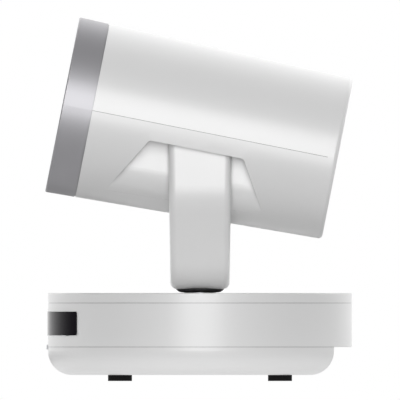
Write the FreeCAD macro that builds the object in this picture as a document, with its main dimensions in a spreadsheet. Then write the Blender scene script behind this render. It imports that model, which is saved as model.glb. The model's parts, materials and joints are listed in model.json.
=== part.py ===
import FreeCAD, Part
import math
import os
import re

import Sketcher

# Pan-tilt-zoom conference camera. Millimetres, +Z up, the front of the camera faces -Y.
# The origin is on the table, on the pan axis.

SIZES = {
    # base
    "base_radius": 76, "housing_wall": 2.4, "lower_height": 14, "lower_rounding": 12,
    "upper_height": 22, "cover_height": 5, "cover_rounding": 0.6, "rear_cut": 67,
    "seam_gap": 0.2, "seam_depth": 0.4, "fit_gap": 0.1, "slide_gap": 0.04, "clear_gap": 0.3,
    "foot_radius": 6, "foot_height": 3, "foot_spread": 40,
    "insert_radius": 4.75, "insert_thread_radius": 2.55, "insert_depth": 7, "boss_wall": 3,
    "bay_half_width": 31, "bay_face": 56.4, "panel_thickness": 1, "board_thickness": 1.6,
    "window_angle": 71.8, "window_bottom": 22.75, "window_height": 12, "window_proud": 0.5,
    "window_rounding": 1.2, "window_lap": 0.6,
    "light_width": 3, "light_height": 2.4, "light_proud": 0.7, "light_depth": 9,
    "ir_board_half": 14, "receiver_spread": 8, "receiver_half": 3, "receiver_height": 7,
    "receiver_dome": 2.2, "receiver_dome_length": 1.5,
    "plate_height": 18.6, "plate_radius": 54, "plate_thickness": 2,
    "pillar_ring": 47, "pillar_angle": 35, "pillar_radius": 3,
    "screw_radius": 1.5, "screw_head_radius": 2.8, "screw_head_height": 1.2,
    "base_screw_length": 10, "plate_screw_grip": 3.5, "screw_room": 0.5,
    "mainboard_height": 7.2, "mainboard_radius": 56, "mainboard_rear": 32,
    "board_post_radius": 2.5, "board_post_side": 26, "board_post_front": 30, "board_post_rear": 22,
    # sockets
    "jack_row_half_width": 27.8, "jack_depth": 21, "jack_inset": 0.2, "jack_hole_gap": 0.15,
    "jack_board_half": 30, "jack_board_lap": 1.5,
    "network_width": 15.6, "network_height": 10.6, "network_depth": 14,
    "video_width": 14.6, "video_height": 6, "video_depth": 10,
    "data_width": 9.2, "data_height": 3.6, "data_depth": 7,
    "power_width": 9, "power_height": 10.6, "power_depth": 10, "power_bore": 3.1,
    "power_pin_radius": 1, "power_pin_length": 9,
    # pan drive
    "pan_module": 0.8, "pan_gear_teeth": 75, "pan_pinion_teeth": 15, "pan_gear_width": 4,
    "pan_gear_height": 12.5, "pan_shaft_radius": 8, "pan_shaft_bore": 6, "ball_radius": 1.4,
    "race_wall": 1.9, "race_height": 7, "race_groove": 1.15, "race_lip": 0.4, "ball_count": 12,
    "ball_play": 0.1, "bearing_boss_wall": 3, "bearing_boss_height": 9.4,
    "retaining_ring_height": 1.1, "pan_hub_wall": 3, "pan_relief_radius": 5.5, "pan_relief_ring": 19,
    "pan_motor_radius": 17.5, "pan_motor_height": 16, "motor_shaft_radius": 1.5,
    "motor_shaft_reach": 9, "motor_ear_half": 5, "motor_ear_reach": 6, "motor_ear_thickness": 1.2,
    "flange_radius": 13, "flange_thickness": 2.5, "fork_bolt_inset": 3.4,
    "collar_radius": 12, "collar_foot": 9, "collar_curve": 4, "collar_gap": 0.3, "collar_lap": 0.8,
    "collar_rise": 0.6,
    # fork
    "fork_gap": 2, "arm_inset": 4.6, "arm_thickness": 6.8, "arm_straight": 53.5, "arm_bend": 39,
    "arm_slope": 21, "fork_rounding": 20, "inner_straight": 45.5, "inner_bend": 12,
    "inner_slope": 25, "inner_rounding": 15, "fork_floor": 17.5, "arm_width": 31.75,
    "fork_width": 29.6, "fork_edge": 3.5, "fork_wall": 1.8, "liner_wall": 1.6,
    "frame_gap": 0.3, "frame_thickness": 1.5, "frame_half_width": 10,
    "tilt_height": 124.6, "trunnion_radius": 4, "trunnion_lead": 0.4, "trunnion_head": 2.5,
    "trunnion_head_height": 1.2, "pivot_gap": 1.2,
    # head, in its own frame: x across, y down, z to the rear, from the tilt axis
    "rest_tilt": 11.2, "barrel_length": 140.3, "front_radius": 44.5, "rear_radius": 40.7,
    "barrel_wall": 2.2, "ring_length": 14.85, "ring_gap": 0.5, "ring_groove": 0.5,
    "ring_thickness": 5, "ring_sleeve": 5.3, "ring_chamfer": 0.5,
    "cap_length": 5, "cap_rounding": 2.2, "cap_lip": 1.6, "cap_lip_length": 4,
    "barrel_seam": 0.22, "barrel_seam_depth": 0.6,
    "swing_gap": 1.2, "recess_top": 9.05, "recess_half_length": 24, "recess_slope": 30.4,
    "recess_rounding": 16, "recess_corner": 2.5, "pocket_top": 6.5, "pocket_wall": 2,
    "column_radius": 3.4, "column_inset": 0.5, "shell_screw_radius": 1.25, "shell_screw_head": 2.3,
    "shell_screw_head_height": 1.8, "shell_screw_sink": 8.8,
    "chassis_gap": 2.4, "chassis_wall": 1.6, "chassis_half_length": 31.6, "chassis_half_height": 18,
    "chassis_drop": 29, "cheek_half": 14, "bush_radius": 6, "bush_flange": 8, "bush_flange_height": 1.8,
    "bush_inside": 0.6, "bush_outside": 3.4,
    "tilt_module": 0.5, "tilt_gear_teeth": 88, "tilt_pinion_teeth": 12, "tilt_gear_width": 3.8,
    "tilt_gear_gap": 1.6, "tilt_relief_radius": 4.5, "tilt_relief_ring": 14,
    "tilt_motor_radius": 9.5, "tilt_motor_length": 18, "tilt_motor_gap": 1, "tilt_shaft_radius": 1,
    "tilt_shaft_reach": 9, "tilt_ear_half": 12.5, "tilt_ear_thickness": 0.8, "tilt_post_radius": 1.4,
    "tilt_post_spread": 11,
    "lens_tube_radius": 22, "lens_tube_bore": 19.5, "lens_tube_front": 54, "lens_tube_foot": 2,
    "lens_tube_foot_bore": 11, "front_lens_depth": 2.4, "front_lens_length": 6, "front_lens_curve": 60,
    "retainer_wall": 2.5, "retainer_depth": 1, "retainer_length": 3,
    "glass_radius": 30.4, "glass_thickness": 1.5, "glass_place": 59,
    "hood_front": 68.6, "hood_lip": 1, "hood_wall": 2, "glass_seat": 0.05,
    "housing_gap": 3.2, "housing_skin": 2, "rod_radius": 1, "rod_inset": 3.2, "rod_play": 0.05,
    "carrier_gap": 0.8, "carrier_wall": 4.2, "carrier_length": 5, "lens_curve": 22, "lens_edge": 0.3,
    "zoom_place": -14.5, "focus_place": 7.5,
    "lens_motor_radius": 3.8, "lens_motor_length": 17, "lens_motor_side": 7, "lens_screw_radius": 0.8,
    "lens_screw_length": 4,
    "sensor_inset": 3, "sensor_half_width": 5, "sensor_half_height": 4, "sensor_thickness": 1.2,
    "headboard_place": 44, "headboard_half_width": 25, "headboard_half_height": 22,
    "headboard_post_radius": 2, "headboard_post_side": 20, "headboard_post_height": 14,
}

FORMULAS = {
    "seam": "(foot_height + lower_height)",
    "cover_seam": "(seam + upper_height)",
    "base_top": "(cover_seam + cover_height)",
    "inner_radius": "(base_radius - housing_wall)",
    "floor": "(foot_height + housing_wall)",
    "plate_top": "(plate_height + plate_thickness)",
    "race_inner": "(pan_shaft_radius + slide_gap)",
    "ball_ring": "(race_inner + race_wall + race_groove)",
    "race_outer": "(ball_ring + race_groove + race_wall)",
    "race_top": "(plate_top + race_height)",
    "pan_spacing": "(pan_module * (pan_gear_teeth + pan_pinion_teeth) / 2)",
    "pillar_x": "(pillar_ring * cos(pillar_angle))",
    "pillar_y": "(pillar_ring * sin(pillar_angle))",
    "jack_gap": "((2 * jack_row_half_width - network_width - video_width - data_width - power_width) / 3)",
    "fork_bottom": "(base_top + fork_gap)",
    "collar_top": "(fork_bottom + collar_rise)",
    "middle_radius": "((front_radius + rear_radius) / 2)",
    "arm_outer": "(middle_radius - arm_inset)",
    "arm_inner": "(arm_outer - arm_thickness)",
    "recess_floor": "(arm_inner - swing_gap)",
    "fork_inside": "(base_top + fork_floor)",
    "outer_knee": "(base_top + arm_straight)",
    "inner_knee": "(base_top + inner_straight)",
    "outer_centre": "(arm_outer - arm_bend)",
    "inner_centre": "(arm_inner - inner_bend)",
    "outer_foot_z": "(fork_bottom + fork_rounding)",
    "inner_foot_z": "(fork_inside + inner_rounding)",
    "outer_run": "((outer_knee - outer_foot_z - (arm_bend - fork_rounding) * sin(arm_slope))"
                 " / cos(arm_slope))",
    "inner_run": "((inner_knee - inner_foot_z - (inner_bend - inner_rounding) * sin(inner_slope))"
                 " / cos(inner_slope))",
    "outer_foot_x": "(outer_centre + (arm_bend - fork_rounding) * cos(arm_slope)"
                    " - outer_run * sin(arm_slope))",
    "inner_foot_x": "(inner_centre + (inner_bend - inner_rounding) * cos(inner_slope)"
                    " - inner_run * sin(inner_slope))",
    "frame_near": "(liner_wall + frame_gap)",
    "frame_far": "(frame_near + frame_thickness)",
    "frame_floor": "(fork_inside - frame_far)",
    "half_length": "(barrel_length / 2)",
    "taper": "((front_radius - rear_radius) / barrel_length)",
    "ring_end": "(ring_length - half_length)",
    "shell_front": "(ring_end + ring_gap)",
    "cap_front": "(half_length - cap_length)",
    "ring_bore": "(front_radius - ring_thickness)",
    "plate_side": "(recess_floor - pocket_wall - chassis_gap - chassis_wall)",
    "tilt_gear_side": "(plate_side - tilt_gear_gap - tilt_gear_width)",
    "tilt_spacing": "(tilt_module * (tilt_gear_teeth + tilt_pinion_teeth) / 2)",
    "trunnion_reach": "(tilt_gear_side - trunnion_lead)",
    "housing_half": "(trunnion_reach - housing_gap)",
    "housing_half_length": "(chassis_half_length - chassis_wall)",
    "carrier_half": "(housing_half - housing_skin - carrier_gap)",
    "rod_place": "(carrier_half - rod_inset)",
    "lens_radius": "(carrier_half - carrier_wall)",
    "sensor_place": "(housing_half_length - sensor_inset)",
}

# Each chip on the main board: x, y, half its width, height.
MAIN_CHIPS = (("-28", "-8", "9", "3"), ("-6", "-34", "5", "1.2"),
              ("24", "-6", "6", "1.2"), ("12", "-30", "4", "1.2"))

doc = FreeCAD.newDocument("ConferenceCamera")
X, Y, Z = FreeCAD.Vector(1, 0, 0), FreeCAD.Vector(0, 1, 0), FreeCAD.Vector(0, 0, 1)
TURN = {"X": FreeCAD.Rotation(Y, 90), "Y": FreeCAD.Rotation(X, -90), "Z": FreeCAD.Rotation()}
nodes = []


def make_sheet():
    sheet = doc.addObject("Spreadsheet::Sheet", "Sizes")
    for row, (name, number) in enumerate(SIZES.items(), 1):
        sheet.set(f"A{row}", name)
        sheet.set(f"B{row}", str(number))
        sheet.setAlias(f"B{row}", name)
    doc.recompute()
    return sheet


sheet = make_sheet()


def bound(text):
    """An expression over the sheet: formulas are written out and sizes get the sheet's name."""
    text = str(text)
    while any(re.search(rf"\b{name}\b", text) for name in FORMULAS):
        for name, formula in FORMULAS.items():
            text = re.sub(rf"\b{name}\b", formula, text)
    return re.sub(r"\b([a-z]+(?:_[a-z]+)+)\b", r"Sizes.\1", text)


def value(text):
    return float(sheet.evalExpression(bound(text)))


def tie(thing, **links):
    for name, text in links.items():
        thing.setExpression(name.replace("__", "."), bound(text))
    return thing


def place(thing, at=("0", "0", "0")):
    for letter, text in zip("xyz", at):
        if str(text) != "0":
            thing.setExpression(f"Placement.Base.{letter}", bound(text))
    return thing


def on_head(thing):
    """Puts a piece drawn in the head's frame on the tilt axis at the resting tilt."""
    if thing.TypeId in ("Part::Cylinder", "Part::Box"):
        thing = group(thing)
    thing.Placement = FreeCAD.Placement(FreeCAD.Vector(), FreeCAD.Rotation(-X, 90))
    return tie(thing, Placement__Base__z="tilt_height", Placement__Rotation__Angle="90 + rest_tilt")


def node(thing, name):
    thing.Label = name
    nodes.append(thing)
    return thing


# ---- sketches and solids -------------------------------------------------------------------


def arc_centre(start, end, radius):
    """Centre of the shorter arc from start to end; a positive radius turns anticlockwise."""
    along = end - start
    height = math.sqrt(max(0.0, radius * radius - along.Length ** 2 / 4))
    left = FreeCAD.Vector(-along.y, along.x, 0).normalize()
    return (start + end) / 2 + left * height * math.copysign(1, radius)


def is_semicircle(corner, chord):
    return 2 * abs(value(corner[2])) < 1.001 * chord.Length


def draw(sketch, corners):
    """A closed outline. A corner is (x, y), or (x, y, radius) where an arc leads to the next one."""
    spots = [FreeCAD.Vector(value(c[0]), value(c[1]), 0) for c in corners]
    first = sketch.GeometryCount
    ends = []
    for i, corner in enumerate(corners):
        start, end = spots[i], spots[(i + 1) % len(spots)]
        if len(corner) == 2:
            sketch.addGeometry(Part.LineSegment(start, end), False)
            ends.append((1, 2))
            continue
        radius = value(corner[2])
        centre = arc_centre(start, end, radius)
        angles = [math.atan2(p.y - centre.y, p.x - centre.x) for p in (start, end)]
        if radius < 0:
            angles.reverse()
        if angles[1] < angles[0]:
            angles[1] += 2 * math.pi
        circle = Part.Circle(centre, Z, abs(radius))
        sketch.addGeometry(Part.ArcOfCircle(circle, *angles), False)
        ends.append((1, 2) if radius > 0 else (2, 1))
    for i, corner in enumerate(corners):
        after = (i + 1) % len(corners)
        sketch.addConstraint(
            Sketcher.Constraint("Coincident", first + i, ends[i][1], first + after, ends[after][0]))
        for kind, text, spot in zip(("DistanceX", "DistanceY"), corner, spots[i]):
            index = sketch.addConstraint(Sketcher.Constraint(kind, -1, 1, first + i, ends[i][0], spot))
            sketch.setExpression(f"Constraints[{index}]", bound(text))
        if len(corner) == 3 and not is_semicircle(corner, spots[after] - spots[i]):
            text = corner[2] if value(corner[2]) > 0 else f"-({corner[2]})"
            index = sketch.addConstraint(Sketcher.Constraint("Radius", first + i, abs(value(corner[2]))))
            sketch.setExpression(f"Constraints[{index}]", bound(text))


def body_sketch(body, plane, corners, start="0"):
    sketch = body.newObject("Sketcher::SketchObject", "Outline")
    origin_plane = next(f for f in body.Origin.OriginFeatures if f.Role == plane + "_Plane")
    sketch.AttachmentSupport = [(origin_plane, "")]
    sketch.MapMode = "FlatFace"
    if start != "0":
        tie(sketch, AttachmentOffset__Base__z=start)
    draw(sketch, corners)
    return sketch


def padded(plane, corners, length, start="0", both=False):
    """A body with one pad along the plane's normal, from start, or both ways from the plane."""
    body = doc.addObject("PartDesign::Body", "Body")
    pad = body.newObject("PartDesign::Pad", "Pad")
    pad.Profile = body_sketch(body, plane, corners, start)
    tie(pad, Length=length)
    if both:
        pad.SideType = "Symmetric"
    return body


def turned(corners, angle=360, plane="XZ"):
    """A body turned about its own z axis, from an outline of (radius, height) corners."""
    body = doc.addObject("PartDesign::Body", "Body")
    turn = body.newObject("PartDesign::Revolution", "Turn")
    turn.Profile = body_sketch(body, plane, corners)
    turn.ReferenceAxis = (turn.Profile[0], ["V_Axis"])
    tie(turn, Angle=angle)
    if str(angle) != "360":
        turn.Midplane = True
    return body


def rod(radius, height, at=("0", "0", "0"), axis="Z"):
    cylinder = doc.addObject("Part::Cylinder", "Rod")
    cylinder.Placement.Rotation = TURN[axis]
    return place(tie(cylinder, Radius=radius, Height=height), at)


def ball(radius, at):
    return place(tie(doc.addObject("Part::Sphere", "Ball"), Radius=radius), at)


def block(low, high):
    box = doc.addObject("Part::Box", "Block")
    tie(box, **{side: f"({h}) - ({l})" for side, l, h in zip(("Length", "Width", "Height"), low, high)})
    return place(box, low)


def joined(*things):
    if len(things) == 1:
        return things[0]
    fuse = doc.addObject("Part::MultiFuse", "Joined")
    fuse.Shapes = list(things)
    return fuse


def shared(*things):
    common = doc.addObject("Part::MultiCommon", "Shared")
    common.Shapes = list(things)
    return common


def cut(base, *tools):
    result = doc.addObject("Part::Cut", "Cut")
    result.Base = base
    result.Tool = joined(*tools)
    return result


def group(*things):
    compound = doc.addObject("Part::Compound", "Group")
    compound.Links = list(things)
    return compound


def mirrored(thing, normal):
    mirror = doc.addObject("Part::Mirroring", "Mirrored")
    mirror.Source = thing
    mirror.Normal = normal
    return mirror


def tube(outer, inner, height, at=("0", "0", "0"), axis="Z"):
    return cut(rod(outer, height, at, axis), rod(inner, height, at, axis))


def gear(teeth, module, width, bore, aim, tooth_at_aim):
    """Spur gear with involute flanks about its own z axis, a tooth or a gap centred on aim."""
    pressure, play = math.radians(20), 0.05
    pitch = teeth * module / 2
    foot, tip = pitch - 1.25 * module, pitch + 0.95 * module
    base = pitch * math.cos(pressure)
    at_pitch = math.pi / 2 / teeth - play / pitch

    def half_tooth(radius):
        slant = math.acos(min(1.0, base / radius))
        return at_pitch + math.tan(pressure) - pressure - math.tan(slant) + slant

    start = max(base, foot)
    steps = [start + (tip - start) * step / 3 for step in range(4)]
    flank = [(foot, half_tooth(start))] + [(r, half_tooth(r)) for r in steps if r > foot]
    points = []
    for tooth in range(teeth):
        shift = 0 if tooth_at_aim else 0.5
        middle = math.radians(aim) + (tooth + shift) * 2 * math.pi / teeth
        for radius, half in [(r, -h) for r, h in flank] + [(r, h) for r, h in reversed(flank)]:
            turn = middle + half
            points.append(FreeCAD.Vector(radius * math.cos(turn), radius * math.sin(turn), 0))
    wheel = Part.Face(Part.makePolygon(points + points[:1])).extrude(Z * width)
    if bore:
        wheel = wheel.cut(Part.makeCylinder(bore, width))
    feature = doc.addObject("Part::Feature", "Gear")
    feature.Shape = wheel
    return feature


# ---- base ----------------------------------------------------------------------------------


def base_bowl(inset, top):
    """The lower housing's outside, or with an inset its inside: round, cut flat at the rear."""
    round_form = turned([
        ("0", f"foot_height + {inset}"),
        ("base_radius - lower_rounding", f"foot_height + {inset}", f"lower_rounding - {inset}"),
        (f"base_radius - {inset}", "foot_height + lower_rounding"),
        (f"base_radius - {inset}", top), ("0", top)])
    side_form = padded("YZ", [
        ("-base_radius - 5", f"foot_height + {inset}"),
        ("rear_cut - lower_rounding", f"foot_height + {inset}", f"lower_rounding - {inset}"),
        (f"rear_cut - {inset}", "foot_height + lower_rounding"),
        (f"rear_cut - {inset}", top), ("-base_radius - 5", top)], "3 * base_radius", both=True)
    return shared(round_form, side_form)


def corner_posts(make, xs=("pillar_x", "-pillar_x"), ys=("pillar_y", "-pillar_y")):
    return [make(x, y) for x in xs for y in ys]


def jack_rows():
    """Centre and width of each socket along the connector bay."""
    left = "-jack_row_half_width"
    for width in ("network_width", "video_width", "data_width", "power_width"):
        yield f"({left} + {width} / 2)", width
        left = f"({left} + {width} + jack_gap)"


def make_lower_shell():
    outside = base_bowl("0", "seam")
    inside = base_bowl("housing_wall", "seam + 1")
    bay = block(("-bay_half_width", "bay_face", "0"), ("bay_half_width", "base_radius + 5", "seam + 1"))
    bay_walls = block(("-bay_half_width - housing_wall", "bay_face - housing_wall", "0"),
                      ("bay_half_width + housing_wall", "base_radius + 5", "seam + 2"))
    groove = tube("base_radius + 1", "base_radius - seam_depth", "seam_gap / 2",
                  ("0", "0", "seam - seam_gap / 2"))
    jack_window = block(("-jack_row_half_width - 1", "bay_face - housing_wall - 1", "floor + 0.2"),
                        ("jack_row_half_width + 1", "bay_face + 1", "seam + 1"))
    shell = cut(outside, bay, cut(inside, bay_walls), groove, jack_window)
    boss = rod("insert_radius + boss_wall", "insert_depth + 1 - housing_wall", ("0", "0", "floor - 0.01"))
    board_posts = corner_posts(lambda x, y: rod("board_post_radius", "mainboard_height - floor + 0.01",
                                                (x, y, "floor - 0.01")),
                               ("-board_post_side", "board_post_side"),
                               ("-board_post_front", "board_post_rear"))
    insert_hole = rod("insert_radius + slide_gap", "insert_depth + 3", ("0", "0", "foot_height - 1"))
    screw_holes = corner_posts(lambda x, y: rod("screw_radius + fit_gap", "housing_wall + 2",
                                                (x, y, "foot_height - 1")))
    screw_heads = corner_posts(lambda x, y: rod("screw_head_radius + fit_gap", "1 + screw_head_height",
                                                (x, y, "foot_height - 1")))
    light = light_block("fit_gap / 2")
    return node(cut(joined(shell, boss, *board_posts), insert_hole, *screw_holes, *screw_heads, light),
                "base_lower_shell")


def light_block(gap):
    half, tall = f"(light_width / 2 + {gap})", f"(light_height / 2 + {gap})"
    return block((f"-{half}", "-base_radius - light_proud", f"seam - {tall}"),
                 (half, "-base_radius + light_depth", f"seam + {tall}"))


def window_form(gap, inner, outer):
    """A stretch of ring across the front, its corners rounded."""
    body = turned([(f"-({inner})", f"window_bottom - {gap}"), (f"-({outer})", f"window_bottom - {gap}"),
                   (f"-({outer})", f"window_bottom + window_height + {gap}"),
                   (f"-({inner})", f"window_bottom + window_height + {gap}")],
                  f"window_angle + 2 * {gap} / base_radius * 180 / pi", "YZ")
    doc.recompute()
    turn = body.Tip
    radial = [f"Edge{i}" for i, edge in enumerate(turn.Shape.Edges, 1)
              if isinstance(edge.Curve, Part.Line) and abs(edge.tangentAt(edge.FirstParameter).z) < 0.01]
    rounding = body.newObject("PartDesign::Fillet", "Corners")
    rounding.Base = (turn, radial)
    tie(rounding, Radius=f"window_rounding + {gap}")
    return body


def make_upper_shell():
    wall = turned([
        ("inner_radius", "seam"), ("base_radius - seam_depth", "seam"),
        ("base_radius - seam_depth", "seam + seam_gap / 2"), ("base_radius", "seam + seam_gap / 2"),
        ("base_radius", "cover_seam - seam_gap / 2"),
        ("base_radius - seam_depth", "cover_seam - seam_gap / 2"),
        ("base_radius - seam_depth", "cover_seam"), ("inner_radius", "cover_seam")])
    eave = shared(rod("base_radius - 1", "housing_wall", ("0", "0", "seam")),
                  block(("-base_radius", "bay_face", "0"), ("base_radius", "base_radius", "base_top")))
    opening = window_form("fit_gap", "inner_radius - 2", "base_radius + 2")
    return node(cut(joined(wall, eave), opening, light_block("fit_gap / 2")), "base_upper_shell")


def make_top_cover():
    body = turned([
        ("collar_radius - collar_lap", "base_top - housing_wall"), ("collar_radius - collar_lap", "base_top"),
        ("base_radius - cover_rounding", "base_top", "-cover_rounding"),
        ("base_radius", "base_top - cover_rounding"), ("base_radius", "cover_seam + seam_gap / 2"),
        ("base_radius - seam_depth", "cover_seam + seam_gap / 2"), ("base_radius - seam_depth", "cover_seam"),
        ("inner_radius", "cover_seam"), ("inner_radius", "base_top - housing_wall")])
    return node(body, "base_top_cover")


def make_base_front():
    node(window_form("0", "inner_radius - window_lap", "base_radius + window_proud"), "ir_window")
    face = "(-base_radius + light_depth)"
    node(block(("-ir_board_half", face, "floor + 1.1"),
               ("ir_board_half", f"{face} + board_thickness", "cover_seam - 5")), "ir_board")
    low = "window_bottom + 4"
    front = f"({face} - receiver_half)"
    receivers = []
    for side in ("-receiver_spread", "receiver_spread"):
        case = block((f"{side} - receiver_half", front, low),
                     (f"{side} + receiver_half", face, f"{low} + receiver_height"))
        dome = rod("receiver_dome", "receiver_dome_length",
                   (side, f"{front} - receiver_dome_length", f"{low} + receiver_height / 2"), "Y")
        receivers.append(joined(case, dome))
    node(group(*receivers), "ir_receivers")
    node(light_block("0"), "status_light")


def make_underside():
    feet = corner_posts(lambda x, y: rod("foot_radius", "foot_height", (x, y, "0")),
                        ("foot_spread", "-foot_spread"), ("foot_spread", "-foot_spread"))
    node(group(*feet), "rubber_feet")
    insert = cut(rod("insert_radius", "insert_depth + 1", ("0", "0", "foot_height")),
                 rod("insert_thread_radius", "insert_depth", ("0", "0", "foot_height")))
    node(insert, "tripod_insert")
    screws = corner_posts(lambda x, y: joined(
        rod("screw_head_radius", "screw_head_height", (x, y, "foot_height")),
        rod("screw_radius", "base_screw_length", (x, y, "foot_height"))))
    node(group(*screws), "base_screws")
    pillars = corner_posts(lambda x, y: cut(
        rod("pillar_radius", "plate_height - floor", (x, y, "floor")),
        rod("screw_radius + slide_gap", "base_screw_length - 1", (x, y, "floor - 1")),
        rod("screw_radius + slide_gap", "plate_screw_grip + screw_room + 1",
            (x, y, "plate_height - plate_screw_grip - screw_room"))))
    node(group(*pillars), "chassis_pillars")
    top_screws = corner_posts(lambda x, y: joined(
        rod("screw_head_radius", "screw_head_height", (x, y, "plate_top")),
        rod("screw_radius", "plate_thickness + plate_screw_grip", (x, y, "plate_height - plate_screw_grip"))))
    node(group(*top_screws), "chassis_screws")


def make_base_boards():
    disc = shared(rod("mainboard_radius", "board_thickness", ("0", "0", "mainboard_height")),
                  block(("-base_radius", "-base_radius", "0"), ("base_radius", "mainboard_rear", "base_top")))
    posts = corner_posts(lambda x, y: rod("pillar_radius + clear_gap", "20", (x, y, "0")))
    node(cut(disc, rod("insert_radius + boss_wall + 1", "20"), *posts), "main_board")
    board_top = "mainboard_height + board_thickness"
    chips = [block((f"{x} - {half}", f"{y} - {half}", board_top),
                   (f"{x} + {half}", f"{y} + {half}", f"{board_top} + {tall}"))
             for x, y, half, tall in MAIN_CHIPS]
    node(group(*chips), "main_chips")
    node(block(("-jack_board_half", "bay_face - jack_depth - jack_board_lap", "seam"),
               ("jack_board_half", "bay_face - jack_inset", "plate_height")), "socket_board")


def socket(kind, hollow_half, hollow_low, hollow_high, depth):
    """A socket's block under its board, and the hollow to take out of it."""
    x, width = next(row for row in jack_rows() if row[1] == f"{kind}_width")
    face = "(bay_face - jack_inset)"
    low = f"(seam - {kind}_height)"
    body = block((f"{x} - {width} / 2", f"{face} - jack_depth", low), (f"{x} + {width} / 2", face, "seam"))
    hollow = block((f"{x} - {hollow_half}", f"{face} - {depth}", f"{low} + {hollow_low}"),
                   (f"{x} + {hollow_half}", f"{face} + 1", f"{low} + {hollow_high}"))
    return x, face, body, hollow


def make_network_jack():
    x, face, body, hollow = socket("network", "5.9", "1.6", "8.8", "network_depth")
    latch = block((f"{x} - 3", f"{face} - network_depth", "seam - 10.1"),
                  (f"{x} + 3", f"{face} + 1", "seam - 8.5"))
    contacts = [block((f"{x} - 4.2 + {i} * 1.02", f"{face} - network_depth", "seam - 2.4"),
                      (f"{x} - 3.7 + {i} * 1.02", f"{face} - 4", "seam - 1.6")) for i in range(9)]
    node(joined(cut(body, hollow, latch), *contacts), "network_jack")


def make_flat_jacks():
    """The video and data sockets, each with a tongue inside."""
    x, face, body, hollow = socket("video", "6.9", "0.6", "5.2", "video_depth")
    tongue = block((f"{x} - 5", f"{face} - video_depth", "seam - 3.6"),
                   (f"{x} + 5", f"{face} - 1.2", "seam - 2.6"))
    node(joined(cut(body, hollow), tongue), "video_jack")
    x, face, body, hollow = socket("data", "4.2", "0.5", "3.1", "data_depth")
    tongue = block((f"{x} - 3.3", f"{face} - data_depth", "seam - 2.15"),
                   (f"{x} + 3.3", f"{face} - 0.8", "seam - 1.45"))
    node(joined(cut(body, hollow), tongue), "data_jack")


def make_power_jack():
    x, face, body, _ = socket("power", "1", "5", "6", "5")
    back = (x, f"{face} - power_depth", "seam - power_height / 2 - 0.2")
    bore = rod("power_bore", "power_depth + 1", back, "Y")
    pin = rod("power_pin_radius", "power_pin_length", back, "Y")
    node(joined(cut(body, bore), pin), "power_jack")


def make_connector_panel():
    face = "(bay_face - housing_wall)"
    plate = block(("-bay_half_width + 0.5", f"{face} - panel_thickness", "floor + 0.05"),
                  ("bay_half_width - 0.5", face, "seam - 0.1"))
    holes = []
    for x, width in jack_rows():
        half = f"({width} / 2 + jack_hole_gap)"
        low = f"seam - {width.replace('width', 'height')} - jack_hole_gap"
        holes.append(block((f"{x} - {half}", f"{face} - 3", low),
                           (f"{x} + {half}", f"{face} + 3", "seam + 1")))
    node(cut(plate, *holes), "connector_panel")


def make_chassis_plate():
    seat = "race_outer + slide_gap"
    boss = rod(f"{seat} + bearing_boss_wall", "bearing_boss_height", ("0", "0", "plate_top"))
    plate = rod("plate_radius", "plate_thickness", ("0", "0", "plate_height"))
    holes = corner_posts(lambda x, y: rod("screw_radius + fit_gap", "20", (x, y, "plate_height - 5")))
    holes += [rod(seat, "20", ("0", "0", "plate_top")), rod("race_inner + race_wall + clear_gap", "40"),
              rod("8", "8", ("pan_spacing", "0", "plate_height - 3"))]
    node(cut(joined(plate, boss), *holes), "chassis_plate")


def make_pan_drive():
    can = rod("pan_motor_radius", "pan_motor_height", ("pan_spacing", "0", "plate_top"))
    reach = "(pan_motor_radius + motor_ear_reach)"
    ears = block(("pan_spacing - motor_ear_half", f"-{reach}", "plate_top"),
                 ("pan_spacing + motor_ear_half", reach, "plate_top + motor_ear_thickness"))
    shaft_room = rod("motor_shaft_radius + slide_gap", "motor_shaft_reach + 2",
                     ("pan_spacing", "0", "plate_top - 1"))
    node(cut(joined(can, ears), shaft_room), "pan_motor")
    pinion = gear(int(SIZES["pan_pinion_teeth"]), value("pan_module"), value("pan_gear_width"), 0, 180, False)
    spot = ("pan_spacing", "0", "pan_gear_height")
    shaft = rod("motor_shaft_radius", "plate_top + motor_shaft_reach - pan_gear_height", spot)
    node(joined(place(pinion, spot), shaft), "pan_pinion")


def make_pan_bearing():
    middle = "plate_top + race_height / 2"
    track = doc.addObject("Part::Torus", "Track")
    tie(track, Radius1="ball_ring", Radius2="ball_radius + ball_play")
    place(track, ("0", "0", middle))
    for name, outer, inner in (("outer", "race_outer", "race_outer - race_wall"),
                               ("inner", "race_inner + race_wall", "race_inner")):
        race = tube(outer, inner, "race_height", ("0", "0", "plate_top"))
        node(cut(race, track), f"pan_bearing_{name}_race")
    balls = []
    for i in range(int(SIZES["ball_count"])):
        angle = f"{i} * 360 / ball_count"
        balls.append(ball("ball_radius", (f"ball_ring * cos({angle})", f"ball_ring * sin({angle})", middle)))
    node(group(*balls), "pan_bearing_balls")


# ---- fork ----------------------------------------------------------------------------------


def fork_outline(inset, top):
    """The fork's outside seen from the front, moved inwards by inset."""
    right = [
        (f"arm_outer - {inset}", top), (f"arm_outer - {inset}", "outer_knee", f"-(arm_bend - {inset})"),
        (f"outer_centre + (arm_bend - {inset}) * cos(arm_slope)",
         f"outer_knee - (arm_bend - {inset}) * sin(arm_slope)"),
        (f"outer_foot_x + (fork_rounding - {inset}) * cos(arm_slope)",
         f"outer_foot_z - (fork_rounding - {inset}) * sin(arm_slope)", f"-(fork_rounding - {inset})"),
        ("outer_foot_x", f"fork_bottom + {inset}")]
    return both_sides(right)


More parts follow.
